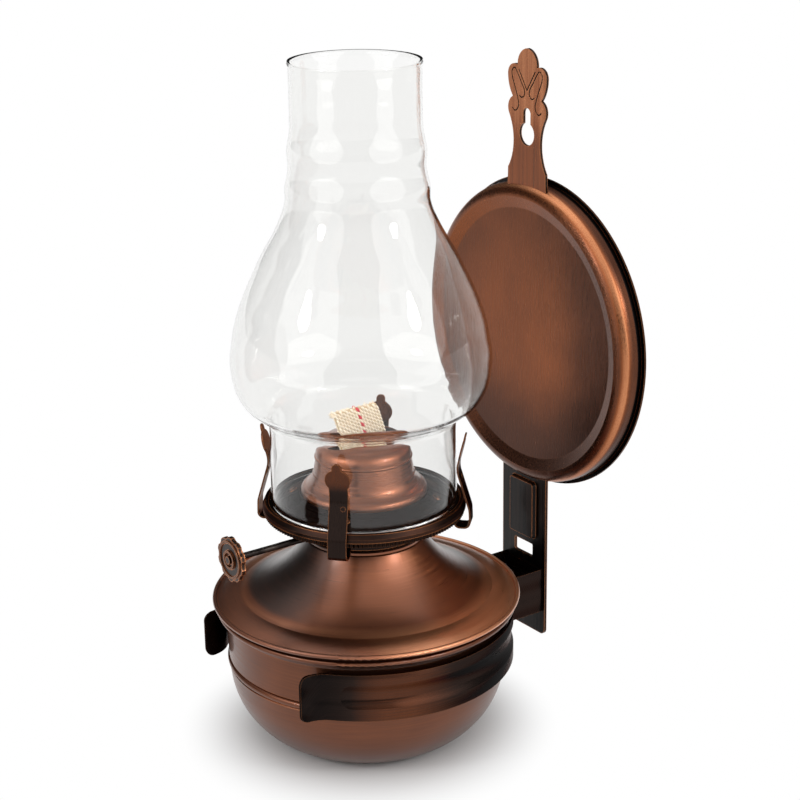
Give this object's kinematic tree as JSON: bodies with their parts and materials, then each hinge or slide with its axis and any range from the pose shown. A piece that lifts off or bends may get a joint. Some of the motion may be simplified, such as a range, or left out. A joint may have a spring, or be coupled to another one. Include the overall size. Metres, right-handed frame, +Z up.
{
  "type": "oil lamp",
  "caption": "Flat-wick oil lamp with round copper fount, screw-in burner, glass chimney and a clip-on wall bracket with a round reflector.",
  "frame": {"origin": "centre of the fount's flat base, on the surface that the lamp stands on", "axes": "+Z up along the chimney, +Y towards the wall, the knob at -Y"},
  "size_m": [0.1046, 0.1267, 0.221],
  "materials": {
    "copper_brushed": "antique copper plating on sheet steel, brushed back",
    "copper_dark": "blackened copper plating on sheet steel",
    "brass": "plain",
    "steel": "oxidised",
    "wick_cotton": "woven cotton",
    "clear_glass": "clear blown"
  },
  "bodies": {
    "fount": {"fount_bowl": "copper_brushed", "fount_lid": "copper_brushed", "fount_collar": "brass"},
    "bracket": {"wall_strap": "copper_dark", "clamp_clip": "copper_dark", "clip_rivets": "copper_dark", "reflector": "copper_brushed"},
    "burner": {"burner_base": "copper_dark", "shaft_bush": "brass", "gallery_plate": "copper_dark", "burner_dome": "copper_brushed", "wick_tube": "brass", "prong_rivets": "copper_dark", "prong_front_right": "copper_dark", "prong_back_right": "copper_dark", "prong_back_left": "copper_dark", "prong_front_left": "copper_dark"},
    "feed": {"wick_shaft": "steel", "feed_wheels": "steel", "wick_knob": "copper_brushed"},
    "wick": {"wick": "wick_cotton"},
    "chimney": {"chimney": "clear_glass"}
  },
  "joints": [
    {"name": "bracket_swivel", "type": "hinge", "parent": "fount", "child": "bracket", "pos_m": [0, 0, 0.0335], "axis": [0, 0, 1], "continuous": true},
    {"name": "burner_lift", "type": "slide", "parent": "fount", "child": "burner", "axis": [0, 0, 1], "range_m": [0, 0.075]},
    {"name": "wick_feed", "type": "hinge", "parent": "burner", "child": "feed", "pos_m": [0.00575, 0, 0.075], "axis": [0, 1, 0], "range_deg": [-170, 225]},
    {"name": "wick_rise", "type": "slide", "parent": "burner", "child": "wick", "axis": [0, 0, 1], "range_m": [-0.0125, 0.0165]},
    {"name": "chimney_lift", "type": "slide", "parent": "burner", "child": "chimney", "axis": [0, 0, 1], "range_m": [0, 0.06]}
  ],
  "couplings": [
    {"joint": "wick_rise", "follows": "wick_feed", "m_per_rad": 0.004}
  ]
}
